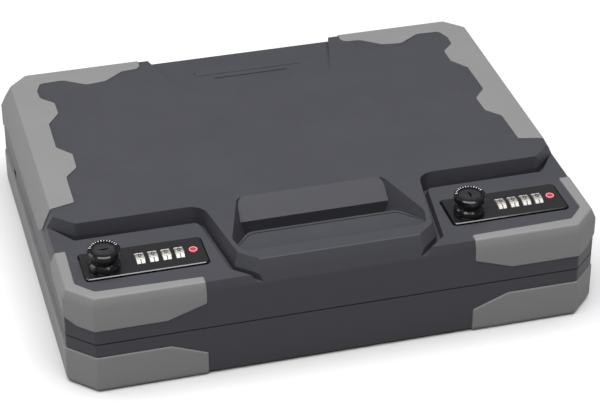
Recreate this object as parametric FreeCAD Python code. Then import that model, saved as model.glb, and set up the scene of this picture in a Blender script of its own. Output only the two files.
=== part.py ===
import FreeCAD, Part
import math
import os

os.makedirs("parts", exist_ok=True)

# Hard-sided lock box: a clamshell of two moulded shells with soft corner armour, a rear
# hinge, a recessed carry grip and two combination locks on the front ledges.
# Millimetres. X is the width, +Y runs to the hinge side, +Z is up. The origin is the
# centre of the footprint at the bottom of the armour feet.

# overall form
CASE_W = 385.0
CASE_D = 308.0
CASE_H = 86.0
SEAM_Z = 40.0
SEAM_GAP = 0.4
CORNER_CUT = 18.4
CORNER_R = 3.0
FACET_LOW_Z = 69.0
FACET_MID_Z = 77.5
FACET_MID_INSET = 3.5
TOP_INSET = 8.0
BOTTOM_R = 4.5
TOP_EDGE_R = 1.2

# skins, counted inwards from the armour's outer face
SHELL_SKIN = 0.8
ARMOUR_SKIN = 2.5
CAVITY_SKIN = 4.3
WALL = CAVITY_SKIN - SHELL_SKIN

# armour outlines
BASE_ARMOUR_TOP = 29.3
BASE_ARMOUR_REVEAL = 0.6
ARMOUR_END_X = 96.0
LID_ARMOUR_LOW = 51.0
FOOT_RIM = 17.0

# front lock pockets and their ledges
LEDGE_Z = 77.0
LEDGE_WALL = 6.8
GUTTER_DEPTH = 5.2

# carry grip
GRIP_REAR_Y = -66.5
GRIP_FRONT_Y = -134.0
GRIP_FLOOR_Z = 58.0
SHELF_REAR_Y = -102.0
SHELF_Z = 78.6
SHELF_DISH = 0.6

# rear hinge
HINGE_Y = 149.5
HINGE_Z = SEAM_Z
KNUCKLE_R = 4.5
KNUCKLE_CLEAR_R = 5.2
KNUCKLE_LEN = 12.0
KNUCKLE_SIDE_GAP = 0.4
PIN_R = 1.5
PIN_RUN_CLEAR = 0.05
HINGE_X = 110.0
CHANNEL_Y = 149.2
CHANNEL_LOW_Z = 29.9
CHANNEL_HIGH_Z = 50.4

# lock modules; places are offsets from the module's own centre
LOCK_X = 131.0
LOCK_Y = -112.5
PLATE_W = 85.0
PLATE_D = 32.4
PLATE_TOP = 77.4
PLATE_T = 2.2
PLATE_GAP = 1.3
PLATE_R = 2.6
PLATE_TRENCH_Z = 72.4
HOUSING_W = 77.0
HOUSING_D = 27.0
HOUSING_LOW = 49.6
COVER_T = 2.0
KNOB_DX = -28.0
KNOB_DY = -4.5
KNOB_R = 11.4
KNOB_H = 15.6
KNOB_RIBS = 24
SHAFT_R = 5.0
PLUG_R = 8.2
DIAL_R = 10.0
DIAL_T = 6.3
DIAL_RISE = 2.2
DIAL_PITCH = 9.2
DIAL_FIRST_DX = -2.7
DIAL_DY = 0.5
DIAL_SLOT_W = 6.9
DIAL_SLOT_R = DIAL_R + 0.4
DIAL_DIGITS = 10
AXLE_R = 1.5
DOT_DX = 35.0
DOT_DY = 1.0
DOT_R = 3.2
BOLT_TRAVEL = 5.0
BOLT_LOW = HOUSING_LOW + 0.3
BOLT_T = 3.0
CRANK_R = BOLT_TRAVEL / math.sqrt(2.0)
CRANK_PIN_R = 1.4

# strike brackets on the base
STRIKE_REAR_Y = -129.0
STRIKE_T = 2.0
STRIKE_W = 18.0
STRIKE_TOP = 57.0
STRIKE_SHANK = 3.5

# parting line
SEAM_REVEAL = 0.3
SEAM_REVEAL_D = 0.7
RIM_LOW = SEAM_Z - SEAM_GAP / 2
RIM_HIGH = SEAM_Z + SEAM_GAP / 2
FAR = 260.0


def vec(x, y, z=0.0):
    return FreeCAD.Vector(x, y, z)


def box(x0, x1, y0, y1, z0, z1):
    return Part.makeBox(x1 - x0, y1 - y0, z1 - z0, vec(x0, y0, z0))


def rod_z(x, y, z0, z1, radius):
    return Part.makeCylinder(radius, z1 - z0, vec(x, y, z0))


def rod_x(y, z, x0, x1, radius):
    return Part.makeCylinder(radius, x1 - x0, vec(x0, y, z), vec(1, 0, 0))


def mirrored(shape):
    return shape.mirror(vec(0, 0, 0), vec(1, 0, 0))


def rounded_wire(points, radii, z):
    """Closed plan outline through corner points, each corner turned by its own arc."""
    count = len(points)
    if not isinstance(radii, (list, tuple)):
        radii = [radii] * count
    ends = []
    edges = []
    for i in range(count):
        corner = vec(points[i][0], points[i][1], z)
        before = vec(points[i - 1][0], points[i - 1][1], z) - corner
        after = vec(points[(i + 1) % count][0], points[(i + 1) % count][1], z) - corner
        before.normalize()
        after.normalize()
        half = before.getAngle(after) / 2
        reach = radii[i] / math.tan(half)
        start = corner + before * reach
        end = corner + after * reach
        middle_way = before + after
        middle_way.normalize()
        middle = corner + middle_way * (radii[i] / math.sin(half) - radii[i])
        ends.append((start, end))
        if radii[i] > 0:
            edges.append(Part.Arc(start, middle, end).toShape())
    for i in range(count):
        edges.append(Part.makeLine(ends[i - 1][1], ends[i][0]))
    return Part.Wire(Part.__sortEdges__(edges))


def prism(points, radii, z0, z1):
    face = Part.Face(rounded_wire(points, radii, z0))
    return face.extrude(vec(0, 0, z1 - z0))


def tapered(low_points, low_radii, z0, high_points, high_radii, z1):
    low = rounded_wire(low_points, low_radii, z0)
    high = rounded_wire(high_points, high_radii, z1)
    return Part.makeLoft([low, high], True, True)


def profile_x(points_yz, x0, x1):
    wire = Part.makePolygon([vec(x0, y, z) for y, z in points_yz + points_yz[:1]])
    return Part.Face(wire).extrude(vec(x1 - x0, 0, 0))


def profile_y(points_xz, y0, y1):
    wire = Part.makePolygon([vec(x, y0, z) for x, z in points_xz + points_xz[:1]])
    return Part.Face(wire).extrude(vec(0, y1 - y0, 0))


def revolve_z(points_rz, x, y):
    wire = Part.makePolygon([vec(x + r, y, z) for r, z in points_rz + points_rz[:1]])
    return Part.Face(wire).revolve(vec(x, y, 0), vec(0, 0, 1), 360)


def rectangle(cx, cy, width, depth):
    return [(cx + width / 2, cy - depth / 2), (cx + width / 2, cy + depth / 2),
            (cx - width / 2, cy + depth / 2), (cx - width / 2, cy - depth / 2)]


def edges_at(shape, z):
    return [e for e in shape.Edges if abs(e.BoundBox.ZMin - z) < 0.01 and abs(e.BoundBox.ZMax - z) < 0.01]


# ---------------------------------------------------------------- case form

def case_plan(inset):
    half_w = CASE_W / 2 - inset
    half_d = CASE_D / 2 - inset
    leg = CORNER_CUT - inset * (2 - math.sqrt(2))
    quarter = [(half_w, half_d - leg), (half_w - leg, half_d)]
    left_rear = [(-x, y) for x, y in reversed(quarter)]
    front = [(-x, -y) for x, y in quarter + left_rear]
    return quarter + left_rear + front


def envelope(skin, bottom_r=BOTTOM_R):
    """Whole closed case as one solid, its faces set in by the skin."""
    top_z = CASE_H - skin
    rise = (top_z - FACET_MID_Z) / (CASE_H - FACET_MID_Z)
    top_inset = skin + FACET_MID_INSET + (TOP_INSET - FACET_MID_INSET) * rise
    walls = prism(case_plan(skin), CORNER_R, skin, FACET_LOW_Z)
    walls = walls.makeFillet(bottom_r, edges_at(walls, skin))
    mid_plan = case_plan(skin + FACET_MID_INSET)
    lower = tapered(case_plan(skin), CORNER_R, FACET_LOW_Z, mid_plan, CORNER_R, FACET_MID_Z)
    upper = tapered(mid_plan, CORNER_R, FACET_MID_Z, case_plan(top_inset), CORNER_R, top_z)
    upper = upper.makeFillet(TOP_EDGE_R, edges_at(upper, top_z))
    return walls.fuse([lower, upper]).removeSplitter()


def pocket(skin):
    """Right lock pocket: drafted walls down to the ledge, open to the front and side."""
    top_z = CASE_H + 4
    top = [(204, -36), (170, -68.7), (79.8, -68.7), (68.3, -132.5), (32, -164), (204, -164)]
    foot = [(204, -41.5), (171.5, -71.8), (80.8, -71.8), (72.5, -137.5), (46, -162), (204, -162)]
    return tapered(foot, [2, 4, 7, 4, 2, 2], LEDGE_Z - skin, top, [2, 4, 16, 6, 2, 2], top_z)


def gutter(skin):
    """Gutter at the foot of the pocket walls, its ledge side sloped, let out at the front."""
    floor = LEDGE_Z - skin
    foot = [(187, -57.2), (171.5, -71.8), (80.8, -71.8), (72.5, -137.5), (50, -158)]
    narrow = foot + [(54.2, -158), (75.6, -138.6), (83.8, -75.4), (172.2, -75.4)]
    wide = foot + [(56, -158), (76.8, -139.2), (85, -77.4), (173, -77.4)]
    low_r = [0.2, 3, 7, 3, 0.2, 0.2, 3, 4, 3]
    return tapered(narrow, low_r, floor - GUTTER_DEPTH, wide, low_r, floor)


def grip_outline(grow):
    rear = GRIP_REAR_Y + grow
    front = GRIP_FRONT_Y - grow
    right = [(54 + grow, rear), (70 + grow, -117), (66 + grow, front)]
    return right + [(-x, y) for x, y in reversed(right)]


def shelf_outline(inset):
    """Plan of the grip shelf: a tongue whose rear corners fall away from the side walls."""
    rear = SHELF_REAR_Y - inset
    right = [(55 - inset / 2, rear), (68 - inset / 2, -120), (80, -122), (80, -180)]
    return prism(right + [(-x, y) for x, y in reversed(right)], [9, 1, 1, 1, 1, 1, 1, 9], 0, 120)


def scoop(drop):
    """Space above the shelf: it sweeps up from the shelf's rear edge to the front rim."""
    top = CASE_H - SHELL_SKIN
    rear = vec(-75, SHELF_REAR_Y + 2, SHELF_Z - drop)
    rim = vec(-75, GRIP_FRONT_Y, top - drop)
    sweep = Part.Arc(rear, vec(-75, -118, SHELF_Z + 1.2 - drop), rim).toShape()
    over = [vec(-75, GRIP_FRONT_Y, top + 3), vec(-75, SHELF_REAR_Y + 2, top + 3)]
    sides = [Part.makeLine(rim, over[0]), Part.makeLine(over[0], over[1]), Part.makeLine(over[1], rear)]
    return Part.Face(Part.Wire([sweep] + sides)).extrude(vec(150, 0, 0))


def grip_recess():
    """Carry grip: sloped rear panel, deep finger slot and the dished shelf it hooks under."""
    top = CASE_H - SHELL_SKIN
    low = [(x * 0.86, y) for x, y in grip_outline(0)]
    walls = tapered(low, 7, GRIP_FLOOR_Z, grip_outline(0.6), 9, top + 3)
    floor = GRIP_FLOOR_Z
    slot_section = [(-63, top + 3), (-80.5, 73), (-80.5, floor), (-130, floor), (-130, top + 3)]
    slot = profile_x(slot_section, -75, 75).cut(shelf_outline(0))
    under = [(-90, floor), (-113, floor), (-118, 64), (SHELF_REAR_Y - 1, 75.2), (-90, 75.2)]
    slot = slot.fuse(profile_x(under, -46, 46))
    dish = scoop(SHELF_DISH).common(shelf_outline(2.0)).common(prism(grip_outline(-2.5), 6, 60, 100))
    return slot.fuse([scoop(0), dish]).common(walls)


def rear_ramp(grow):
    """Shallow ramp that falls to the rear edge, with two plain raised bars on its floor."""
    top = CASE_H - SHELL_SKIN
    fold = 91.0
    slope = 0.095
    outline = [(60 + grow, fold - grow), (75 + grow, 150), (75 + grow, 170)]
    plan = outline + [(-x, y) for x, y in reversed(outline)]
    sides = prism(plan, 1.5, 60, top + 5)
    run = 170 - fold
    wedge = [(fold, top - grow), (170, top - grow - slope * run), (170, top + 5), (fold - grow, top + 5)]
    if grow:
        wedge = wedge + [(fold - grow, top - grow)]
    cut = profile_x(wedge, -95, 95).common(sides)
    if grow:
        return cut
    for length, depth, y in ((84, 9.0, 119.0), (58, 2.6, 108.0)):
        bar_top = top - slope * (y - fold) + 0.7
        cut = cut.cut(prism(rectangle(0, y, length, depth), 1.2, 60, bar_top))
    return cut


def lid_form(skin):
    """Upper form of the case with its two lock pockets, set in by the skin."""
    cutter = pocket(skin)
    return envelope(skin).cut([cutter, mirrored(cutter)]).removeSplitter()


# ---------------------------------------------------------------- corner armour

def base_armour_region(reveal):
    outline = [(ARMOUR_END_X, -5), (ARMOUR_END_X, 19.2), (122, BASE_ARMOUR_TOP + reveal),
               (FAR, BASE_ARMOUR_TOP + reveal), (FAR, -5)]
    return profile_y(outline, -FAR, FAR)


def base_armour(outer, inner):
    """Right armour of the base: both corners, the side and a rim that makes the feet."""
    rim_x = CASE_W / 2 - FOOT_RIM
    rim_y = CASE_D / 2 - FOOT_RIM
    rear_half = [(rim_x, rim_y - 12), (rim_x - 12, rim_y), (60, rim_y)]
    core = prism(rear_half + [(x, -y) for x, y in reversed(rear_half)], 2, -5, 12)
    return outer.common(base_armour_region(0)).cut([inner, core])


def front_armour(outer, inner):
    """Right front armour of the lid: wraps the corner and laps on to the ledge."""
    face = [(ARMOUR_END_X, 95), (ARMOUR_END_X, 60.5), (124, LID_ARMOUR_LOW), (FAR, LID_ARMOUR_LOW), (FAR, 95)]
    side = [(-FAR, 95), (-FAR, LID_ARMOUR_LOW), (-143, LID_ARMOUR_LOW), (-131, 58), (-93, 61)]
    side += [(-89.5, 65), (-89.5, 95)]
    ledge = [(90, -144), (170.5, -142), (182, -129.5), (181, -80), (90, -80)]
    region = profile_y(face, -FAR, -70).common(profile_x(side, 90, FAR))
    lap = prism(ledge, [0.2, 4, 4, 0.2, 0.2], 40, 100)
    return outer.common(region).cut([inner, lap])


def rear_armour(outer, inner):
    """Right rear armour of the lid, with the scalloped inner outline on the top face."""
    scallops = [(82, 200), (82, 134), (97, 133), (112, 121.5), (127, 119.5), (144, 131), (162, 130)]
    scallops += [(166, 119), (165.5, 108), (156, 98), (156, 82), (165.5, 68), (166, 33), (156, 21)]
    scallops += [(156.5, 2), (166, -9), (166.5, -43.5), (184, -48), (200, -53), (240, -53), (240, 200)]
    radii = [1, 6, 6, 4, 6, 8, 4, 4, 5, 4, 5, 4, 4, 4, 4, 4, 1.5, 3, 3, 1, 1]
    plan = prism(scallops, radii, 40, 100)
    side = [(FAR, LID_ARMOUR_LOW), (136, LID_ARMOUR_LOW), (112, 63), (-38, 63), (-54, 74)]
    side += [(-54, 100), (FAR, 100)]
    face = [(80, 100), (80, 60.5), (108, LID_ARMOUR_LOW), (FAR, LID_ARMOUR_LOW), (FAR, 100)]
    region = plan.common([profile_x(side, 0, FAR)]).common(profile_y(face, -FAR, FAR))
    return outer.common(region).cut(inner)


# ---------------------------------------------------------------- hinge

def knuckle_starts(first, count):
    pitch = KNUCKLE_LEN + KNUCKLE_SIDE_GAP
    return [HINGE_X + (i - 2.5) * pitch for i in range(first, first + 2 * count, 2)]


def knuckle(x0, up):
    """One hinge knuckle with its web; up is +1 on the lid and -1 on the base."""
    web = [(-KNUCKLE_R, 0), (KNUCKLE_R, 0), (KNUCKLE_R, 4), (-0.6, 9.2), (-KNUCKLE_R, 9.2)]
    web_yz = [(HINGE_Y + y, HINGE_Z + up * z) for y, z in web]
    barrel = rod_x(HINGE_Y, HINGE_Z, x0, x0 + KNUCKLE_LEN, KNUCKLE_R)
    return barrel.fuse(profile_x(web_yz, x0, x0 + KNUCKLE_LEN))


def with_hinge(shell, first, count, up, bore_r, other_first, other_count):
    """Clear the other leaf's knuckles, add this leaf's own, then bore for the pin."""
    clearances = []
    knuckles = []
    for x0 in knuckle_starts(other_first, other_count):
        reach = x0 + KNUCKLE_LEN + KNUCKLE_SIDE_GAP
        clearances.append(rod_x(HINGE_Y, HINGE_Z, x0 - KNUCKLE_SIDE_GAP, reach, KNUCKLE_CLEAR_R))
    for x0 in knuckle_starts(first, count):
        knuckles.append(knuckle(x0, up))
    clearances += [mirrored(c) for c in clearances]
    knuckles += [mirrored(k) for k in knuckles]
    bore = rod_x(HINGE_Y, HINGE_Z, HINGE_X - 40, HINGE_X + 40, bore_r)
    return shell.cut(clearances).fuse(knuckles).cut([bore, mirrored(bore)])


def hinge_pin():
    starts = knuckle_starts(0, 3)
    return rod_x(HINGE_Y, HINGE_Z, starts[0] + 0.5, starts[-1] + KNUCKLE_LEN - 0.5, PIN_R)


def channel():
    return box(-FAR, FAR, CHANNEL_Y, FAR, CHANNEL_LOW_Z, CHANNEL_HIGH_Z)


def hinge_backing():
    return box(-FAR, FAR, 142.5, FAR, CHANNEL_LOW_Z - 5, CHANNEL_HIGH_Z + 5)


# ---------------------------------------------------------------- shells

def seam_reveal(z0, z1):
    """Shadow line round the parting line: a shallow step in the rim's outer edge."""
    kept = prism(case_plan(SHELL_SKIN + SEAM_REVEAL_D), 2, 30, 50)
    return prism(case_plan(-5), 1, z0, z1).cut(kept)


def base_shell(outer_env, cavity_env, armour_cut):
    below = box(-FAR, FAR, -FAR, FAR, -5, RIM_LOW)
    shell = outer_env.common(below).cut(channel())
    hollow = cavity_env.cut(hinge_backing())
    shell = shell.cut(hollow)
    band = prism(case_plan(CAVITY_SKIN - 0.3), CORNER_R, SEAM_Z - 5, RIM_LOW)
    lip = prism(case_plan(CAVITY_SKIN + 0.8), CORNER_R, SEAM_Z - 5, SEAM_Z + 3)
    opening = prism(case_plan(CAVITY_SKIN + 2.4), 2.0, 0, 60)
    ridge = band.fuse(lip).cut([opening, box(-FAR, FAR, 120, FAR, 0, 60)])
    shell = shell.fuse(ridge)
    reveal = seam_reveal(RIM_LOW - SEAM_REVEAL, RIM_LOW + 5)
    cable_notch = box(-FAR, -150, 80, 89, SEAM_Z - 6, SEAM_Z + 5)
    shell = shell.cut([reveal, cable_notch] + armour_cut)
    return with_hinge(shell, 0, 3, -1, PIN_R, 1, 2)


def lid_shell(form, cavity_env, armour_cut):
    above = box(-FAR, FAR, -FAR, FAR, RIM_HIGH, 100)
    shell = form.common(above).cut(channel())
    trench = gutter(SHELL_SKIN)
    under_ledge = [(FAR, -27), (205, -27), (168.5, -64), (75, -64), (62, -134), (30, -164), (FAR, -164)]
    ledge_block = prism(under_ledge, 2, LEDGE_Z - SHELL_SKIN - LEDGE_WALL, 100)
    grip_block = prism(grip_outline(WALL), 6, GRIP_FLOOR_Z - WALL, 100)
    grip_block = grip_block.cut(box(-FAR, FAR, -FAR, -121.5, 0, SHELF_Z - WALL))
    solid_parts = [ledge_block, mirrored(ledge_block), grip_block, rear_ramp(WALL), hinge_backing()]
    hollow = cavity_env.cut(solid_parts)
    shell = shell.cut(hollow)
    reveal = seam_reveal(RIM_HIGH - 5, RIM_HIGH + SEAM_REVEAL)
    cuts = [reveal, trench, mirrored(trench), grip_recess(), rear_ramp(0)]
    for side in (-1, 1):
        cuts.append(lock_opening(side * LOCK_X))
    shell = shell.cut(cuts + armour_cut)
    return with_hinge(shell, 1, 2, 1, PIN_R + PIN_RUN_CLEAR, 0, 3)


# ---------------------------------------------------------------- lock module

def lock_opening(cx):
    """Seat for the lock plate, the trench round it, and the window its housing drops through."""
    around = rectangle(cx, LOCK_Y, PLATE_W + 2 * PLATE_GAP, PLATE_D + 2 * PLATE_GAP)
    seat = prism(rectangle(cx, LOCK_Y, PLATE_W - 1.6, PLATE_D - 1.6), 2, 60, PLATE_TOP - PLATE_T)
    trench = prism(around, PLATE_R + PLATE_GAP, PLATE_TRENCH_Z, 90).cut(seat)
    window = rectangle(cx, LOCK_Y, HOUSING_W + 0.6, HOUSING_D + 0.6)
    return trench.fuse(prism(window, 1, 60, 90))


def dial_places(cx):
    return [cx + DIAL_FIRST_DX + i * DIAL_PITCH for i in range(4)]


def dial_axis_z():
    return PLATE_TOP + DIAL_RISE - DIAL_R


def lock_plate(cx):
    low = PLATE_TOP - PLATE_T
    plate = prism(rectangle(cx, LOCK_Y, PLATE_W, PLATE_D), PLATE_R, low, PLATE_TOP)
    plate = plate.makeChamfer(0.5, edges_at(plate, PLATE_TOP))
    cuts = [rod_z(cx + KNOB_DX, LOCK_Y + KNOB_DY, low - 1, PLATE_TOP + 1, SHAFT_R + 0.3)]
    cuts.append(rod_z(cx + DOT_DX, LOCK_Y + DOT_DY, PLATE_TOP - 0.8, PLATE_TOP + 1, DOT_R))
    for x in dial_places(cx):
        slot = rod_x(LOCK_Y + DIAL_DY, dial_axis_z(), x - DIAL_SLOT_W / 2, x + DIAL_SLOT_W / 2, DIAL_SLOT_R)
        cuts.append(slot)
    return plate.cut(cuts)


def lock_housing(cx):
    """Die-cast body: dial chamber, knob bearing and the channel that guides the bolt."""
    knob_x = cx + KNOB_DX
    knob_y = LOCK_Y + KNOB_DY
    top = PLATE_TOP - PLATE_T
    body = prism(rectangle(cx, LOCK_Y, HOUSING_W, HOUSING_D), 1.5, HOUSING_LOW, top)
    dials = dial_places(cx)
    axle_y = LOCK_Y + DIAL_DY
    chamber = rod_x(axle_y, dial_axis_z(), dials[0] - 4.4, dials[-1] + 4.4, DIAL_R + 0.5)
    throat = box(dials[0] - 4.4, dials[-1] + 4.4, axle_y - 9.4, axle_y + 9.4, dial_axis_z(), top + 1)
    bearing = rod_z(knob_x, knob_y, HOUSING_LOW - 1, top + 1, SHAFT_R + 0.05)
    bolt_top = BOLT_LOW + BOLT_T + 0.3
    guide = box(knob_x - 6.3, knob_x + 6.3, LOCK_Y - 40, knob_y + 7.5, HOUSING_LOW - 1, bolt_top)
    axle = rod_x(axle_y, dial_axis_z(), dials[0] - 9, dials[-1] + 9, AXLE_R)
    body = body.cut([chamber, throat, bearing, guide, axle])
    for x in (cx - HOUSING_W / 2 + 5, cx + HOUSING_W / 2 - 5):
        body = body.cut(rod_z(x, LOCK_Y + 9, HOUSING_LOW - 1, HOUSING_LOW + 7, 1.0))
    return body


def lock_cover(cx):
    low = HOUSING_LOW - COVER_T
    cover = prism(rectangle(cx, LOCK_Y, HOUSING_W, HOUSING_D), 1.5, low, HOUSING_LOW)
    for x in (cx - HOUSING_W / 2 + 5, cx + HOUSING_W / 2 - 5):
        cover = cover.cut(rod_z(x, LOCK_Y + 9, low - 1, HOUSING_LOW + 1, 1.25))
    return cover


def screw_up(x, y, z):
    """Pan-head screw driven upwards, its head under height z, with a cross recess."""
    dome = [(0, z), (2.4, z), (2.4, z - 0.9), (1.6, z - 1.5), (0, z - 1.7)]
    screw = revolve_z(dome, x, y).fuse(rod_z(x, y, z, z + 7.4, 1.0))
    for wide, deep in ((2.6, 0.5), (0.5, 2.6)):
        screw = screw.cut(box(x - wide / 2, x + wide / 2, y - deep / 2, y + deep / 2, z - 2, z - 0.8))
    return screw


def cover_screws(cx):
    places = (cx - HOUSING_W / 2 + 5, cx + HOUSING_W / 2 - 5)
    return Part.makeCompound([screw_up(x, LOCK_Y + 9, HOUSING_LOW - COVER_T) for x in places])


def dial_axle(cx):
    dials = dial_places(cx)
    return rod_x(LOCK_Y + DIAL_DY, dial_axis_z(), dials[0] - 8.5, dials[-1] + 8.5, AXLE_R)


def dial(x):
    """Number wheel with a shallow thumb groove between each pair of digits."""
    y = LOCK_Y + DIAL_DY
    z = dial_axis_z()
    wheel = rod_x(y, z, x - DIAL_T / 2, x + DIAL_T / 2, DIAL_R)
    wheel = wheel.makeChamfer(0.35, [e for e in wheel.Edges if e.Curve.TypeId == "Part::GeomCircle"])
    cuts = [rod_x(y, z, x - DIAL_T, x + DIAL_T, AXLE_R + 0.05)]
    for i in range(DIAL_DIGITS):
        turn = math.radians(360.0 / DIAL_DIGITS * (i + 0.5))
        groove_y = y + (DIAL_R + 0.45) * math.sin(turn)
        groove_z = z + (DIAL_R + 0.45) * math.cos(turn)
        cuts.append(rod_x(groove_y, groove_z, x - DIAL_T, x + DIAL_T, 0.9))
    return wheel.cut(cuts)


def knob(cx):
    """Turn knob: domed foot, ribbed waist, broad head, and a shaft with its crank pin."""
    x = cx + KNOB_DX
    y = LOCK_Y + KNOB_DY
    low = PLATE_TOP + 0.3
    high = PLATE_TOP + KNOB_H
    shaft_low = BOLT_LOW + BOLT_T + 0.5
    dome = [(KNOB_R - 0.3 - 3.2 * math.sin(t) ** 3, low + 1.4 + 5.4 * math.sin(t)) for t in
            [math.radians(a) for a in (0, 18, 36, 54, 72, 90)]]
    outline = [(0, shaft_low), (SHAFT_R, shaft_low), (SHAFT_R, low), (KNOB_R - 0.6, low)] + dome
    outline += [(7.9, low + 9.8), (KNOB_R - 0.7, low + 10.4), (KNOB_R, low + 11.1), (KNOB_R, high - 0.8)]
    outline += [(KNOB_R - 0.8, high), (PLUG_R + 0.05, high), (PLUG_R + 0.05, high - 4.5), (0, high - 4.5)]
    flutes = []
    for i in range(2 * KNOB_RIBS):
        turn = math.pi * (i + 0.5) / KNOB_RIBS
        reach = 8.5 if i % 2 else 8.0
        flutes.append((x + reach * math.cos(turn), y + reach * math.sin(turn)))
    waist = prism(flutes, 0, low + 6.2, low + 10.1)
    corner = CRANK_R / math.sqrt(2.0)
    pin = rod_z(x - corner, y + corner, BOLT_LOW + 0.3, shaft_low + 0.5, CRANK_PIN_R)
    return revolve_z(outline, x, y).fuse(waist).fuse(pin)


def key_plug(cx, slot_turn):
    """Key plug in the knob's head, its keyway turned by slot_turn degrees."""
    x = cx + KNOB_DX
    y = LOCK_Y + KNOB_DY
    high = PLATE_TOP + KNOB_H - 0.5
    plug = rod_z(x, y, high - 3.7, high, PLUG_R)
    plug = plug.makeChamfer(0.4, edges_at(plug, high))
    ring = rod_z(x, y, high - 0.4, high + 1, PLUG_R - 1.2).cut(rod_z(x, y, high - 1, high + 1, PLUG_R - 1.6))
    keyway = box(x - 3.2, x + 3.2, y - 0.55, y + 0.55, high - 2.8, high + 1)
    step = box(x - 1.0, x + 1.4, y - 1.15, y + 0.55, high - 2.8, high + 1)
    keyway = keyway.fuse(step)
    keyway.rotate(vec(x, y, 0), vec(0, 0, 1), slot_turn)
    return plug.cut([ring, keyway])


def latch_bolt(cx):
    """Sliding bolt with a rounded nose and a cross slot for the knob's crank pin."""
    x = cx + KNOB_DX
    y = LOCK_Y + KNOB_DY
    corner = CRANK_R / math.sqrt(2.0)
    outline = [(x + 6, y - 10.5), (x + 6, y + 6.5), (x - 6, y + 6.5), (x - 6, y - 10.5)]
    bolt = prism(outline, [2.5, 1, 1, 2.5], BOLT_LOW, BOLT_LOW + BOLT_T)
    half = CRANK_PIN_R + 0.35
    slot = [(x - corner + half, y + corner - half), (x - corner + half, y + corner + half),
            (x - CRANK_R - half, y + corner + half), (x - CRANK_R - half, y + corner - half)]
    return bolt.cut(prism(slot, half - 0.1, BOLT_LOW - 1, BOLT_LOW + BOLT_T + 1))


def lock_dot(cx):
    dot = rod_z(cx + DOT_DX, LOCK_Y + DOT_DY, PLATE_TOP - 0.8, PLATE_TOP + 0.3, DOT_R)
    return dot.makeFillet(0.25, edges_at(dot, PLATE_TOP + 0.3))


# ---------------------------------------------------------------- strikes and linings

def strike(cx):
    """Pressed steel bracket: foot on the front wall, web inwards, windowed tongue up."""
    x = cx + KNOB_DX
    wall = -CASE_D / 2 + CAVITY_SKIN
    rear = STRIKE_REAR_Y
    outline = [(wall, 10), (wall + STRIKE_T, 10), (wall + STRIKE_T, 30.5), (rear, 30.5), (rear, STRIKE_TOP),
               (rear - STRIKE_T, STRIKE_TOP), (rear - STRIKE_T, 30.5 + STRIKE_T), (wall, 30.5 + STRIKE_T)]
    bracket = profile_x(outline, x - STRIKE_W / 2, x + STRIKE_W / 2)
    window = box(x - 6.8, x + 6.8, rear - 5, rear + 5, BOLT_LOW - 1.2, BOLT_LOW + BOLT_T + 1.2)
    bracket = bracket.cut(window)
    for dx in (-5, 5):
        bore = Part.makeCylinder(1.55, 12, vec(x + dx, wall - 4, 20), vec(0, 1, 0))
        bracket = bracket.cut(bore)
    return bracket


def strike_screws():
    """Four short pan-head screws that hold the two brackets to the front wall."""
    wall = -CASE_D / 2 + CAVITY_SKIN
    screws = []
    for cx in (-LOCK_X, LOCK_X):
        for dx in (-5, 5):
            x = cx + KNOB_DX + dx
            head = Part.makeCylinder(2.8, 1.6, vec(x, wall + STRIKE_T, 20), vec(0, 1, 0))
            head = head.makeFillet(0.7, [head.Edges[0]])
            start = vec(x, wall + STRIKE_T - STRIKE_SHANK, 20)
            shank = Part.makeCylinder(1.25, STRIKE_SHANK, start, vec(0, 1, 0))
            recess = box(x - 1.4, x + 1.4, wall, wall + 9, 19.7, 20.3)
            recess = recess.fuse(box(x - 0.3, x + 0.3, wall, wall + 9, 18.6, 21.4))
            recess = recess.common(box(x - 3, x + 3, wall + STRIKE_T + 0.8, wall + 9, 15, 25))
            screws.append(head.fuse(shank).cut(recess))
    return Part.makeCompound(screws)


def screw_bores():
    wall = -CASE_D / 2 + CAVITY_SKIN
    bores = []
    for cx in (-LOCK_X, LOCK_X):
        for dx in (-5, 5):
            start = vec(cx + KNOB_DX + dx, wall + STRIKE_T - STRIKE_SHANK, 20)
            bores.append(Part.makeCylinder(1.25, 8, start, vec(0, 1, 0)))
    return bores


def base_foam():
    half_w = CASE_W / 2 - CAVITY_SKIN - 3
    plan = [(half_w, -110), (half_w, 124), (half_w - 14, 138), (14 - half_w, 138), (-half_w, 124),
            (-half_w, -110), (14 - half_w, -122), (half_w - 14, -122)]
    return prism(plan, 3, CAVITY_SKIN + 0.3, 22.0)


def lid_foam():
    high = CASE_H - CAVITY_SKIN - 0.3
    plan = rectangle(0, 13, 344, 138)
    return prism(plan, 6, high - 12, high)


# ---------------------------------------------------------------- build

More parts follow.
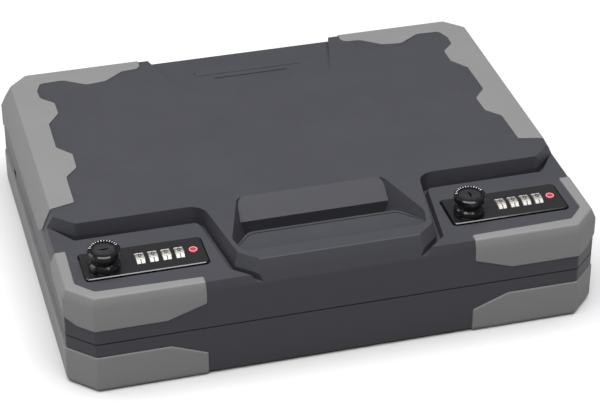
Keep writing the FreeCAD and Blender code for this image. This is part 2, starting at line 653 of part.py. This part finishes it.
def build():
    outer = envelope(0)
    shell_env = envelope(SHELL_SKIN)
    armour_inner = envelope(ARMOUR_SKIN, 3.0)
    cavity_env = envelope(CAVITY_SKIN, 3.0)
    nodes = {}

    base_guard = base_armour(outer, armour_inner)
    reveal_guard = outer.common(base_armour_region(BASE_ARMOUR_REVEAL)).cut(armour_inner)
    reveal_guard = reveal_guard.common(box(-FAR, FAR, -FAR, FAR, 15, 50))
    base_cuts = [base_guard, mirrored(base_guard), reveal_guard, mirrored(reveal_guard)] + screw_bores()
    nodes["base_shell"] = base_shell(shell_env, cavity_env, base_cuts)
    nodes["base_armour_right"] = base_guard
    nodes["base_armour_left"] = mirrored(base_guard)

    proud_lid = lid_form(0)
    inner_lid = lid_form(ARMOUR_SKIN)
    front_guard = front_armour(proud_lid, inner_lid)
    rear_guard = rear_armour(proud_lid, inner_lid)
    lid_cuts = [front_guard, mirrored(front_guard), rear_guard, mirrored(rear_guard)]
    nodes["lid_shell"] = lid_shell(lid_form(SHELL_SKIN), cavity_env, lid_cuts)
    nodes["lid_armour_front_right"] = front_guard
    nodes["lid_armour_front_left"] = mirrored(front_guard)
    nodes["lid_armour_rear_right"] = rear_guard
    nodes["lid_armour_rear_left"] = mirrored(rear_guard)

    nodes["hinge_pin_right"] = hinge_pin()
    nodes["hinge_pin_left"] = mirrored(hinge_pin())
    nodes["base_foam"] = base_foam()
    nodes["lid_foam"] = lid_foam()
    nodes["strike_screws"] = strike_screws()

    for name, side, slot_turn in (("left", -1, 0.0), ("right", 1, 90.0)):
        cx = side * LOCK_X
        nodes[name + "_strike"] = strike(cx)
        nodes[name + "_lock_plate"] = lock_plate(cx)
        nodes[name + "_lock_housing"] = lock_housing(cx)
        nodes[name + "_lock_cover"] = lock_cover(cx)
        nodes[name + "_cover_screws"] = cover_screws(cx)
        nodes[name + "_dial_axle"] = dial_axle(cx)
        nodes[name + "_lock_dot"] = lock_dot(cx)
        nodes[name + "_knob"] = knob(cx)
        nodes[name + "_key_plug"] = key_plug(cx, slot_turn)
        nodes[name + "_latch_bolt"] = latch_bolt(cx)
        for i, x in enumerate(dial_places(cx)):
            nodes[name + "_dial_" + str(i + 1)] = dial(x)

    for name, shape in nodes.items():
        shape.exportStep("parts/" + name + ".step")
        print(name, "solids", len(shape.Solids), "valid", shape.isValid(), "volume", round(shape.Volume))


build()
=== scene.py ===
# %% [markdown]
# The lock box arrives as named meshes on moving bodies: two shells on a hinge, and on the
# lid two locks with knobs, keys, bolts and number wheels.

import math

import bpy
from mathutils import Matrix, Vector


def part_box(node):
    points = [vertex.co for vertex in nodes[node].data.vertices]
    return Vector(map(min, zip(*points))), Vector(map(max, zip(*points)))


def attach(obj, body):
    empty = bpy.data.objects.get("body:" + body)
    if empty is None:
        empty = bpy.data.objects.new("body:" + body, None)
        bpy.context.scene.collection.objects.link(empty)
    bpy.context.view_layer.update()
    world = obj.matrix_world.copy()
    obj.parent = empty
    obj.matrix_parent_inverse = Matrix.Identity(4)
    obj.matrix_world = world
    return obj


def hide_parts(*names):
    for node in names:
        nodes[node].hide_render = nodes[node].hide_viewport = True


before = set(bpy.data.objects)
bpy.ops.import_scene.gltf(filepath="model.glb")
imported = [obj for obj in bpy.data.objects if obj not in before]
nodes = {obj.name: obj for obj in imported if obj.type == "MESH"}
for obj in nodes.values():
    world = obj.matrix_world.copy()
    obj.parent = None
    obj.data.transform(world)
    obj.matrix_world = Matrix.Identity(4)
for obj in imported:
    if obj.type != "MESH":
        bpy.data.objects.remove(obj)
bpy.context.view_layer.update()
scene = bpy.context.scene
LOCKS = ("left", "right")

# %% [markdown]
# Every operator acts on whatever is selected, so each step starts by clearing the
# selection and picking one object. A finished piece sits at the origin with its place in
# its mesh, which is what applying the transform does.

# %% Pick, settle and copy


def pick(obj):
    bpy.ops.object.select_all(action="DESELECT")
    obj.select_set(True)
    bpy.context.view_layer.objects.active = obj


def settle(obj, name):
    """Name the active piece and put its place into its mesh."""
    obj.name = name
    pick(obj)
    bpy.ops.object.transform_apply(location=True, rotation=True, scale=True)
    return obj


def copy_of(piece):
    twin = piece.copy()
    twin.data = piece.data.copy()
    scene.collection.objects.link(twin)
    return twin


def middle(node):
    low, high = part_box(node)
    return (Vector(low) + Vector(high)) / 2


print("lid shell middle", [round(v, 4) for v in middle("lid_shell")])

# %% [markdown]
# A modifier shapes a piece without touching its points until it is applied. Each one here
# is set and applied at once. Repeated small parts, such as digits, are joined into one
# piece, so that the finished model has no more objects than it needs.

# %% Apply a modifier, join pieces


def finish_with(obj, kind, **values):
    """Add one modifier, set it and apply it."""
    pick(obj)
    modifier = obj.modifiers.new(kind.title(), kind)
    for key, value in values.items():
        setattr(modifier, key, value)
    bpy.ops.object.modifier_apply(modifier=modifier.name)


def join_all(pieces, name):
    bpy.ops.object.select_all(action="DESELECT")
    for piece in pieces:
        piece.select_set(True)
    bpy.context.view_layer.objects.active = pieces[0]
    bpy.ops.object.join()
    joined = bpy.context.object
    joined.name = name
    return joined


print("helpers", finish_with.__name__, join_all.__name__)

# %% [markdown]
# Moulded plastic is never one flat value. A mould is spark-eroded, which leaves a fine,
# even grain, and handling polishes it in places. A group that gives out a grain height
# and a slow blotchy mask can serve the shells, the armour and the castings alike: each
# material places it with its own grain size. A node socket is set by name, so a short
# function that sets several at once keeps the cells readable.

# %% Surface group: moulded grain


def new_group(name, inputs, outputs):
    """Make a shader node group; an input given as three numbers becomes a vector socket."""
    group = bpy.data.node_groups.new(name, "ShaderNodeTree")
    for label, value in inputs:
        kind = "NodeSocketVector" if isinstance(value, tuple) else "NodeSocketFloat"
        socket = group.interface.new_socket(label, in_out="INPUT", socket_type=kind)
        socket.default_value = value
    for label in outputs:
        group.interface.new_socket(label, in_out="OUTPUT", socket_type="NodeSocketFloat")
    return group


def add(tree, kind, **settings):
    """Add a shader node; settings named in_X go to input sockets, the rest to the node."""
    node = tree.nodes.new(kind)
    for key, value in settings.items():
        if key.startswith("in_"):
            node.inputs[key[3:].replace("_", " ")].default_value = value
        else:
            setattr(node, key, value)
    return node


moulded_grain = new_group("moulded grain", [("Grain Size", 900.0), ("Blotch Size", 14.0)],
                          ["Grain", "Blotch"])
grain_in = add(moulded_grain, "NodeGroupInput")
grain_out = add(moulded_grain, "NodeGroupOutput")
place = add(moulded_grain, "ShaderNodeTexCoord")
fine = add(moulded_grain, "ShaderNodeTexNoise", in_Detail=3.0, in_Roughness=0.6)
slow = add(moulded_grain, "ShaderNodeTexNoise", in_Detail=4.0, in_Roughness=0.55)
moulded_grain.links.new(place.outputs["Object"], fine.inputs["Vector"])
moulded_grain.links.new(place.outputs["Object"], slow.inputs["Vector"])
moulded_grain.links.new(grain_in.outputs["Grain Size"], fine.inputs["Scale"])
moulded_grain.links.new(grain_in.outputs["Blotch Size"], slow.inputs["Scale"])
moulded_grain.links.new(fine.outputs["Fac"], grain_out.inputs["Grain"])
moulded_grain.links.new(slow.outputs["Fac"], grain_out.inputs["Blotch"])
print("moulded grain nodes", len(moulded_grain.nodes))

# %% [markdown]
# Dust lies on faces that look up, thicker in some places than others. The group turns
# the surface normal's upward part and a noise into one mask between 0 and 1.

# %% Surface group: settled dust
settled_dust = new_group("settled dust", [("Amount", 0.5), ("Patch Size", 30.0)], ["Dust"])
dust_in = add(settled_dust, "NodeGroupInput")
dust_out = add(settled_dust, "NodeGroupOutput")
dust_place = add(settled_dust, "ShaderNodeTexCoord")
dust_facing = add(settled_dust, "ShaderNodeNewGeometry")
dust_split = add(settled_dust, "ShaderNodeSeparateXYZ")
dust_up = add(settled_dust, "ShaderNodeMath", operation="POWER")
dust_up.inputs[1].default_value = 3.0
dust_clip = add(settled_dust, "ShaderNodeMath", operation="MAXIMUM")
dust_clip.inputs[1].default_value = 0.0
dust_noise = add(settled_dust, "ShaderNodeTexNoise", in_Detail=8.0, in_Roughness=0.7)
dust_spread = add(settled_dust, "ShaderNodeMapRange")
dust_spread.inputs["From Min"].default_value = 0.42
dust_spread.inputs["From Max"].default_value = 0.75
dust_both = add(settled_dust, "ShaderNodeMath", operation="MULTIPLY")
dust_scaled = add(settled_dust, "ShaderNodeMath", operation="MULTIPLY")
settled_dust.links.new(dust_facing.outputs["Normal"], dust_split.inputs[0])
settled_dust.links.new(dust_split.outputs["Z"], dust_clip.inputs[0])
settled_dust.links.new(dust_clip.outputs[0], dust_up.inputs[0])
settled_dust.links.new(dust_place.outputs["Object"], dust_noise.inputs["Vector"])
settled_dust.links.new(dust_in.outputs["Patch Size"], dust_noise.inputs["Scale"])
settled_dust.links.new(dust_noise.outputs["Fac"], dust_spread.inputs["Value"])
settled_dust.links.new(dust_up.outputs[0], dust_both.inputs[0])
settled_dust.links.new(dust_spread.outputs["Result"], dust_both.inputs[1])
settled_dust.links.new(dust_both.outputs[0], dust_scaled.inputs[0])
settled_dust.links.new(dust_in.outputs["Amount"], dust_scaled.inputs[1])
settled_dust.links.new(dust_scaled.outputs[0], dust_out.inputs["Dust"])
print("settled dust nodes", len(settled_dust.nodes))

# %% [markdown]
# With the groups made, one recipe covers all moulded finishes: a base colour that drifts
# between two close tones, a roughness that drifts the same way, dust on top, and the
# grain as a bump. The tones, sizes and gloss are what make hard shell, soft armour and
# cast metal look different.

# %% Recipe for moulded and cast finishes


def tone_mix(tree, mask, dark, light):
    mix = tree.nodes.new("ShaderNodeMix")
    mix.data_type = "RGBA"
    tree.links.new(mask, mix.inputs["Factor"])
    mix.inputs[6].default_value = (*dark, 1.0)
    mix.inputs[7].default_value = (*light, 1.0)
    return mix


def moulded_finish(name, dark, light, rough, grain_size, grain_depth, dust, **shader_values):
    material = bpy.data.materials.new(name)
    material.use_nodes = True
    tree = material.node_tree
    shader = tree.nodes["Principled BSDF"]
    grain = add(tree, "ShaderNodeGroup", node_tree=moulded_grain, in_Grain_Size=grain_size)
    tone = tone_mix(tree, grain.outputs["Blotch"], dark, light)
    lying = add(tree, "ShaderNodeGroup", node_tree=settled_dust, in_Amount=dust)
    dusty = tone_mix(tree, lying.outputs["Dust"], dark, (0.2, 0.197, 0.19))
    tree.links.new(tone.outputs[2], dusty.inputs[6])
    tree.links.new(dusty.outputs[2], shader.inputs["Base Color"])
    drift = add(tree, "ShaderNodeMapRange")
    drift.inputs["To Min"].default_value = rough[0]
    drift.inputs["To Max"].default_value = rough[1]
    tree.links.new(grain.outputs["Blotch"], drift.inputs["Value"])
    tree.links.new(drift.outputs["Result"], shader.inputs["Roughness"])
    bump = add(tree, "ShaderNodeBump", in_Strength=0.5, in_Distance=grain_depth)
    tree.links.new(grain.outputs["Grain"], bump.inputs["Height"])
    tree.links.new(bump.outputs["Normal"], shader.inputs["Normal"])
    for label, value in shader_values.items():
        shader.inputs[label.replace("_", " ")].default_value = value
    return material


shell_plastic = moulded_finish("charcoal shell plastic", (0.0326, 0.033, 0.0382), (0.0346, 0.0351, 0.0405),
                               (0.42, 0.46), 1400.0, 0.00012, 0.02, Specular_IOR_Level=0.13)
armour_rubber = moulded_finish("grey soft armour", (0.119, 0.12, 0.119), (0.127, 0.128, 0.127),
                               (0.55, 0.7), 1100.0, 0.00015, 0.06, Specular_IOR_Level=0.35)
lock_casting = moulded_finish("dark cast zinc", (0.03, 0.03, 0.034), (0.05, 0.05, 0.055),
                              (0.4, 0.55), 700.0, 0.0002, 0.0, Metallic=0.6)
print("moulded finishes", [m.name for m in (shell_plastic, armour_rubber, lock_casting)])

# %% [markdown]
# Polished and lacquered surfaces carry hairlines from wiping and brushing. One noise,
# stretched along the direction of the strokes, makes them: even numbers in the stretch
# give a lacquer's soft waviness, uneven ones a brushed metal.

# %% Surface group: hairlines
hairlines = new_group("hairlines", [("Stretch", (60.0, 60.0, 60.0))], ["Hairline"])
hair_in = add(hairlines, "NodeGroupInput")
hair_out = add(hairlines, "NodeGroupOutput")
hair_place = add(hairlines, "ShaderNodeTexCoord")
hair_stretch = add(hairlines, "ShaderNodeMapping")
hair_noise = add(hairlines, "ShaderNodeTexNoise", in_Scale=1.0, in_Detail=4.0)
hairlines.links.new(hair_in.outputs["Stretch"], hair_stretch.inputs["Scale"])
hairlines.links.new(hair_place.outputs["Object"], hair_stretch.inputs["Vector"])
hairlines.links.new(hair_stretch.outputs["Vector"], hair_noise.inputs["Vector"])
hairlines.links.new(hair_noise.outputs["Fac"], hair_out.inputs["Hairline"])
print("hairline nodes", len(hairlines.nodes))

# %% [markdown]
# The lock plates and knobs are gloss black under a lacquer, the wheels satin chrome, the
# bolts and brackets zinc plated. One recipe serves them all: the hairlines drift the gloss
# and the tone a little and give a very shallow bump.

# %% Recipe for gloss and metal finishes


HAIRLINE_DEPTH = 0.00002


def polished_finish(name, colour, rough, stretch, metallic, **shader_values):
    material = bpy.data.materials.new(name)
    material.use_nodes = True
    tree = material.node_tree
    shader = tree.nodes["Principled BSDF"]
    hair = add(tree, "ShaderNodeGroup", node_tree=hairlines, in_Stretch=stretch)
    drift = add(tree, "ShaderNodeMapRange")
    drift.inputs["To Min"].default_value = rough[0]
    drift.inputs["To Max"].default_value = rough[1]
    tree.links.new(hair.outputs["Hairline"], drift.inputs["Value"])
    tree.links.new(drift.outputs["Result"], shader.inputs["Roughness"])
    tone = tone_mix(tree, hair.outputs["Hairline"], [c * 0.85 for c in colour], colour)
    tree.links.new(tone.outputs[2], shader.inputs["Base Color"])
    bump = add(tree, "ShaderNodeBump", in_Strength=0.3, in_Distance=HAIRLINE_DEPTH)
    tree.links.new(hair.outputs["Hairline"], bump.inputs["Height"])
    tree.links.new(bump.outputs["Normal"], shader.inputs["Normal"])
    shader.inputs["Metallic"].default_value = metallic
    for label, value in shader_values.items():
        shader.inputs[label.replace("_", " ")].default_value = value
    return material


lock_black = polished_finish("gloss black lock plate", (0.008, 0.008, 0.009),
                             (0.1, 0.22), (60, 60, 60), 0.0,
                             Coat_Weight=0.6, Coat_Roughness=0.08)
knob_black = polished_finish("gloss black knob", (0.005, 0.005, 0.006),
                             (0.1, 0.2), (90, 90, 300), 0.0,
                             Coat_Weight=0.2, Coat_Roughness=0.08, Specular_IOR_Level=0.3)
plug_metal = polished_finish("dark nickel key plug", (0.16, 0.16, 0.17),
                             (0.22, 0.36), (250, 250, 60), 1.0)
dial_chrome = polished_finish("satin chrome number wheels", (0.3, 0.29, 0.27),
                              (0.46, 0.56), (900, 80, 80), 0.85)
bright_steel = polished_finish("zinc plated steel", (0.6, 0.61, 0.63),
                               (0.25, 0.4), (80, 400, 80), 1.0)
print("gloss and metal finishes", [m.name for m in (lock_black, knob_black, plug_metal,
                                                   dial_chrome, bright_steel)])

# %% [markdown]
# The markers are enamel and the digits and ticks are ink. Both lie thinly on another
# surface, so they take the same recipe with a fine, even waviness.

# %% Enamel and ink
marker_red = polished_finish("red marker enamel", (0.36, 0.02, 0.035),
                             (0.18, 0.3), (200, 200, 200), 0.0)
marker_pale = polished_finish("pale marker enamel", (0.62, 0.3, 0.32),
                              (0.2, 0.3), (200, 200, 200), 0.0)
digit_ink = polished_finish("black digit ink", (0.012, 0.011, 0.01),
                            (0.4, 0.5), (400, 400, 400), 0.0)
tick_ink = polished_finish("white tick ink", (0.78, 0.78, 0.78),
                           (0.35, 0.5), (400, 400, 400), 0.0)
print("enamel and ink", [m.name for m in (marker_red, marker_pale, digit_ink, tick_ink)])

# %% [markdown]
# Each part from the frame keeps its shape and gets one of the finishes, chosen by the
# words in its name. The first word that fits wins, so the order runs from the special
# to the general.

# %% Dress the parts that keep their shape
FINISHES = [("armour", armour_rubber), ("strike", bright_steel), ("hinge_pin", bright_steel),
            ("axle", bright_steel), ("screws", bright_steel), ("bolt", bright_steel), ("dial", dial_chrome),
            ("dot", marker_red), ("housing", lock_casting), ("cover", lock_casting),
            ("key_plug", plug_metal), ("knob", knob_black), ("plate", lock_black), ("shell", shell_plastic)]


def dress(obj, material):
    obj.data.materials.clear()
    obj.data.materials.append(material)


def finish_for(name):
    return next((material for word, material in FINISHES if word in name), None)


for name, obj in nodes.items():
    if finish_for(name):
        dress(obj, finish_for(name))
print("without a finish of their own", [name for name in nodes if not finish_for(name)])

# %% [markdown]
# No moulded edge is knife sharp: the mould's own edges are rounded so that the plastic
# fills them, and those small rounds are what catch the light. The frame's meshes are
# loose triangles, so a copy is merged, its flat faces are dissolved back to whole ones,
# and a bevel rounds every edge sharper than a set angle. The copy then stands in for the
# part, in the same place.

# %% Rounded edges on the moulded parts
BEVEL_ABOVE = math.radians(24)
SMOOTH_BELOW = math.radians(40)


def soften(name, width):
    copy = copy_of(nodes[name])
    pick(copy)
    bpy.ops.object.mode_set(mode="EDIT")
    bpy.ops.mesh.select_all(action="SELECT")
    bpy.ops.mesh.remove_doubles(threshold=0.00001)
    bpy.ops.mesh.dissolve_limited(angle_limit=math.radians(0.6))
    bpy.ops.object.mode_set(mode="OBJECT")
    finish_with(copy, "BEVEL", width=width, segments=3, limit_method="ANGLE",
                angle_limit=BEVEL_ABOVE, use_clamp_overlap=True, miter_outer="MITER_ARC")
    bpy.ops.object.shade_smooth_by_angle(angle=SMOOTH_BELOW)
    finish_with(copy, "WEIGHTED_NORMAL", mode="FACE_AREA", weight=100, keep_sharp=True)
    settle(copy, name + "_rounded")
    dress(copy, finish_for(name))
    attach(copy, "lid" if name.startswith("lid") else "base")
    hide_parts(name)
    return copy


SHELL_ROUND = 0.0009
ARMOUR_ROUND = 0.0013
SOFT = {"lid_shell": SHELL_ROUND, "base_shell": SHELL_ROUND}
for side in LOCKS:
    for part in ("base_armour_", "lid_armour_front_", "lid_armour_rear_"):
        SOFT[part + side] = ARMOUR_ROUND
rounded = [soften(name, width) for name, width in SOFT.items()]
print("rounded parts", [(piece.name, len(piece.data.polygons)) for piece in rounded])

# %% [markdown]
# A number wheel carries ten digits round its rim. Each digit is a text object laid flat
# in the wheel's own plane, made into a thin mesh and turned round the axle to its place.
# They are joined into one ring of print for each wheel, which then rides on the wheel.

# %% Digits on the number wheels
DIAL_R = (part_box("left_dial_1")[1][2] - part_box("left_dial_1")[0][2]) / 2
DIGIT_SIZE = 0.0058
INK_HEIGHT = 0.00006
INK_LIFT = 0.00002
DIGITS = 10


def digit_mesh(number):
    bpy.ops.object.select_all(action="DESELECT")
    bpy.ops.object.text_add(location=(0, 0, 0))
    digit = bpy.context.object
    digit.data.body = str(number)
    digit.data.size = DIGIT_SIZE
    digit.data.align_x = "CENTER"
    digit.data.align_y = "CENTER"
    digit.data.extrude = INK_HEIGHT
    digit.data.offset = 0.00008
    digit.data.resolution_u = 2
    pick(digit)
    bpy.ops.object.convert(target="MESH")
    return digit


def digit_ring(dial_name):
    centre = middle(dial_name)
    lift = Matrix.Translation((0, 0, DIAL_R + INK_LIFT))
    digits = []
    for i in range(DIGITS):
        digit = digit_mesh(i)
        turn = Matrix.Rotation(math.radians(360 / DIGITS * i), 4, "X")
        digit.data.transform(Matrix.Translation(centre) @ turn @ lift)
        digits.append(digit)
    ring = join_all(digits, dial_name + "_digits")
    dress(ring, digit_ink)
    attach(ring, dial_name)
    return ring


rings = [digit_ring(f"{side}_dial_{i}") for side in LOCKS for i in range(1, 5)]
print("digit rings", len(rings), "faces each", len(rings[0].data.polygons))

# %% [markdown]
# The face of each knob has an arc of short white ticks outside the key plug, in place of
# lettering. One tick is a flat bar narrowed towards the middle of the knob; the rest are
# copies of it, each turned round the knob's axis, and the whole arc is joined.

# %% Tick marks on the knobs
TICK_RING_R = 0.0095
TICK_WIDTH = 0.00042
TICK_HEIGHT = 0.00012
TICK_STEP = math.radians(12.0)


def tick(length):
    bpy.ops.object.select_all(action="DESELECT")
    bpy.ops.mesh.primitive_cube_add(size=1, location=(0, TICK_RING_R, 0),
                                    scale=(TICK_WIDTH, length, TICK_HEIGHT))
    bar = bpy.context.object
    settle(bar, "tick")
    bpy.ops.object.mode_set(mode="EDIT")
    bpy.ops.mesh.select_mode(type="FACE")
    bpy.ops.mesh.select_all(action="DESELECT")
    bpy.ops.object.mode_set(mode="OBJECT")
    for face in bar.data.polygons:
        face.select = face.normal.y < -0.9
    bpy.ops.object.mode_set(mode="EDIT")
    bpy.ops.transform.resize(value=(0.6, 1, 1))
    bpy.ops.object.mode_set(mode="OBJECT")
    return bar


def tick_arc(side):
    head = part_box(side + "_knob")[1].z + 0.00003
    centre = middle(side + "_knob")
    long_tick = tick(0.0017)
    short_tick = tick(0.0011)
    ticks = []
    for i in range(-6, 7):
        twin = copy_of(long_tick if i % 3 == 0 else short_tick)
        turn = Matrix.Rotation(-TICK_STEP * i, 4, "Z")
        twin.data.transform(Matrix.Translation((centre.x, centre.y, head)) @ turn)
        ticks.append(twin)
    for pattern in (long_tick, short_tick):
        bpy.data.objects.remove(pattern)
    arc = join_all(ticks, side + "_knob_ticks")
    dress(arc, tick_ink)
    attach(arc, side + "_knob")
    return arc


for side in LOCKS:
    print(tick_arc(side).name)

# %% [markdown]
# A fine pale ring frames the red marker beside the wheels. An open tube is given a wall
# and its edges are rounded off.

# %% Rings round the red markers
RING_WALL = 0.0005
RING_INSET = 0.0003


def marker_ring(side):
    low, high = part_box(side + "_lock_dot")
    centre = (low + high) / 2
    bpy.ops.object.select_all(action="DESELECT")
    bpy.ops.mesh.primitive_cylinder_add(vertices=48, radius=(high.x - low.x) / 2 - RING_INSET,
                                        depth=0.0005, end_fill_type="NOTHING",
                                        location=(centre.x, centre.y, high.z + 0.0001))
    ring = bpy.context.object
    settle(ring, side + "_marker_ring")
    finish_with(ring, "SOLIDIFY", thickness=RING_WALL, offset=-1.0)
    finish_with(ring, "BEVEL", width=0.0001, segments=2, limit_method="ANGLE", angle_limit=SMOOTH_BELOW)
    bpy.ops.object.shade_smooth_by_angle(angle=SMOOTH_BELOW)
    settle(ring, side + "_marker_ring")
    dress(ring, marker_pale)
    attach(ring, "lid")
    return ring


for side in LOCKS:
    print(marker_ring(side).name)

# %% [markdown]
# The linings are open-cell foam, cut on a profiling machine that leaves rows of soft
# peaks. Foam is matt and nearly black here, with pores too small to model, so a cell
# pattern drives the bump and a fuzzy noise drifts the tone.

# %% Foam finish
foam_cells = bpy.data.materials.new("charcoal foam")
foam_cells.use_nodes = True
foam_tree = foam_cells.node_tree
foam_shader = foam_tree.nodes["Principled BSDF"]
foam_where = add(foam_tree, "ShaderNodeTexCoord")
foam_pores = add(foam_tree, "ShaderNodeTexVoronoi", in_Scale=700.0)
foam_fuzz = add(foam_tree, "ShaderNodeTexNoise", in_Scale=160.0, in_Detail=6.0)
foam_tree.links.new(foam_where.outputs["Object"], foam_pores.inputs["Vector"])
foam_tree.links.new(foam_where.outputs["Object"], foam_fuzz.inputs["Vector"])
foam_tone = tone_mix(foam_tree, foam_fuzz.outputs["Fac"], (0.012, 0.012, 0.013), (0.04, 0.04, 0.043))
foam_tree.links.new(foam_tone.outputs[2], foam_shader.inputs["Base Color"])
foam_bump = add(foam_tree, "ShaderNodeBump", in_Strength=0.8, in_Distance=0.0006)
foam_tree.links.new(foam_pores.outputs["Distance"], foam_bump.inputs["Height"])
foam_tree.links.new(foam_bump.outputs["Normal"], foam_shader.inputs["Normal"])
foam_shader.inputs["Roughness"].default_value = 0.95
foam_shader.inputs["Sheen Weight"].default_value = 0.2
print("foam finish", foam_cells.name)

# %% [markdown]
# The pads start as a grid with one cell for each peak. Every cell is inset by itself and
# its middle is pushed out, which gives blunt pyramids that subdivision can soften later.
# The corners are cut off like the tray's. The open rim is then pulled back to give the
# pad its thickness, and closed.

# %% Steps that shape a foam pad
PEAK_PITCH = 0.021
PEAK_RISE = 0.0075
PEAK_INSET = 0.0052
PEAK_ZONE = 0.0085
PAD_SLACK = 0.0006


def raise_peaks(up):
    bpy.ops.mesh.select_mode(type="FACE")
    bpy.ops.mesh.select_all(action="SELECT")
    bpy.ops.mesh.inset(thickness=PEAK_INSET, use_individual=True)
    bpy.ops.transform.translate(value=(0, 0, up * PEAK_RISE))


def cut_corners(centre, size, corner, valley):
    for x in (-1, 1):
        for y in (-1, 1):
            bpy.ops.mesh.select_all(action="SELECT")
            cut_at = (centre.x + x * size.x / 2, centre.y + y * (size.y / 2 - corner), valley)
            bpy.ops.mesh.bisect(plane_co=cut_at, plane_no=(x, y, 0), clear_outer=True)


def select_rim():
    bpy.ops.mesh.select_mode(type="EDGE")
    bpy.ops.mesh.select_all(action="DESELECT")
    bpy.ops.mesh.select_non_manifold(extend=False, use_wire=False, use_boundary=True,
                                     use_multi_face=False, use_non_contiguous=False, use_verts=False)


def close_back(depth):
    select_rim()
    bpy.ops.mesh.extrude_region_move(TRANSFORM_OT_translate={"value": (0, 0, depth)})
    bpy.ops.mesh.edge_face_add()
    bpy.ops.mesh.select_mode(type="VERT")
    bpy.ops.mesh.select_all(action="SELECT")
    bpy.ops.mesh.remove_doubles(threshold=0.00002)
    bpy.ops.mesh.normals_make_consistent(inside=False)


print("peak pitch mm", round(PEAK_PITCH * 1000, 1), "rise mm", round(PEAK_RISE * 1000, 1))

# %% [markdown]
# Two pads line the box. The lower one lies in the tray with its peaks up, the upper one is
# glued in the lid with its peaks down. The steps above run in order on each, with the
# subdivision between them, because the corners must be cut through the softened peaks.

# %% Foam linings


def foam_lining(name, node, up, corner):
    low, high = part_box(node)
    size = high - low
    centre = (low + high) / 2
    valley = high.z - PEAK_ZONE if up > 0 else low.z + PEAK_ZONE
    back = low.z + 0.0002 if up > 0 else high.z - 0.0002
    bpy.ops.object.select_all(action="DESELECT")
    bpy.ops.mesh.primitive_grid_add(x_subdivisions=round(size.x / PEAK_PITCH),
                                    y_subdivisions=round(size.y / PEAK_PITCH),
                                    size=1, location=(centre.x, centre.y, valley))
    pad = bpy.context.object
    pad.scale = (size.x - PAD_SLACK, size.y - PAD_SLACK, 1)
    settle(pad, name)
    bpy.ops.object.mode_set(mode="EDIT")
    raise_peaks(up)
    bpy.ops.object.mode_set(mode="OBJECT")
    finish_with(pad, "SUBSURF", levels=2, render_levels=2)
    bpy.ops.object.mode_set(mode="EDIT")
    cut_corners(centre, size, corner, valley)
    close_back(back - valley)
    bpy.ops.object.mode_set(mode="OBJECT")
    pick(pad)
    bpy.ops.object.shade_smooth_by_angle(angle=math.radians(50))
    settle(pad, name)
    dress(pad, foam_cells)
    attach(pad, node.split("_")[0])
    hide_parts(node)
    return pad


base_lining = foam_lining("base_lining_pad", "base_foam", 1, 0.0145)
lid_lining = foam_lining("lid_lining_pad", "lid_foam", -1, 0.004)
print("lining faces", len(base_lining.data.polygons), len(lid_lining.data.polygons))

# %% [markdown]
# The case stands on a plain pale floor that reaches past the camera's view. A matt floor
# also throws light back up on to the upright faces, as a white studio sweep does.

# %% Floor
bpy.ops.object.select_all(action="DESELECT")
bpy.ops.mesh.primitive_plane_add(size=14, location=(0, 0, 0))
floor = bpy.context.object
settle(floor, "studio_floor")
floor_white = bpy.data.materials.new("white studio floor")
floor_white.use_nodes = True
floor_shader = floor_white.node_tree.nodes["Principled BSDF"]
floor_shader.inputs["Base Color"].default_value = (0.49, 0.49, 0.49, 1)
floor_shader.inputs["Roughness"].default_value = 0.9
floor_shader.inputs["Specular IOR Level"].default_value = 0.1
dress(floor, floor_white)
print("floor", floor.name)

# %% [markdown]
# One very large soft light overhead makes the top plane brighter than the upright faces,
# with no hard shadow. A small one low on the left lifts that side, and a pale world
# fills what neither of them reaches.

# %% Lights
world = bpy.data.worlds.new("pale studio")
world.use_nodes = True
world.node_tree.nodes["Background"].inputs["Color"].default_value = (0.98, 0.99, 1.0, 1)
world.node_tree.nodes["Background"].inputs["Strength"].default_value = 0.2
scene.world = world
scene.view_settings.view_transform = "Standard"
AIM = Vector((0.0, 0.0, 0.05))


def soft_light(name, place, size, power):
    bpy.ops.object.select_all(action="DESELECT")
    bpy.ops.object.light_add(type="AREA", location=place)
    light = bpy.context.object
    light.name = name
    light.data.shape = "SQUARE"
    light.data.size = size
    light.data.energy = power
    light.rotation_euler = (AIM - Vector(place)).to_track_quat("-Z", "Y").to_euler()
    return light


lights = [soft_light("overhead_softbox", (-0.1, -0.35, 2.2), 2.6, 150),
          soft_light("left_fill", (-1.9, 0.5, 0.7), 1.2, 14)]
print("lights", [light.name for light in lights])

# %% [markdown]
# A long lens from the front left, a little above, keeps the long edges almost parallel.

# %% Camera
camera_data = bpy.data.cameras.new("product_camera")
camera_data.lens = 128.4
camera_data.sensor_width = 36.0
camera = bpy.data.objects.new("product_camera", camera_data)
scene.collection.objects.link(camera)
AZIMUTH = math.radians(-15.26)
ELEVATION = math.radians(32.94)
TARGET = Vector((0.03057, 0.07229, -0.02451))
DISTANCE = 1.7087
BACK = Vector((math.sin(AZIMUTH) * math.cos(ELEVATION),
               -math.cos(AZIMUTH) * math.cos(ELEVATION),
               math.sin(ELEVATION)))
camera.location = TARGET + BACK * DISTANCE
camera.rotation_euler = BACK.to_track_quat("Z", "Y").to_euler()
scene.camera = camera
print("camera at", [round(v, 3) for v in camera.location])
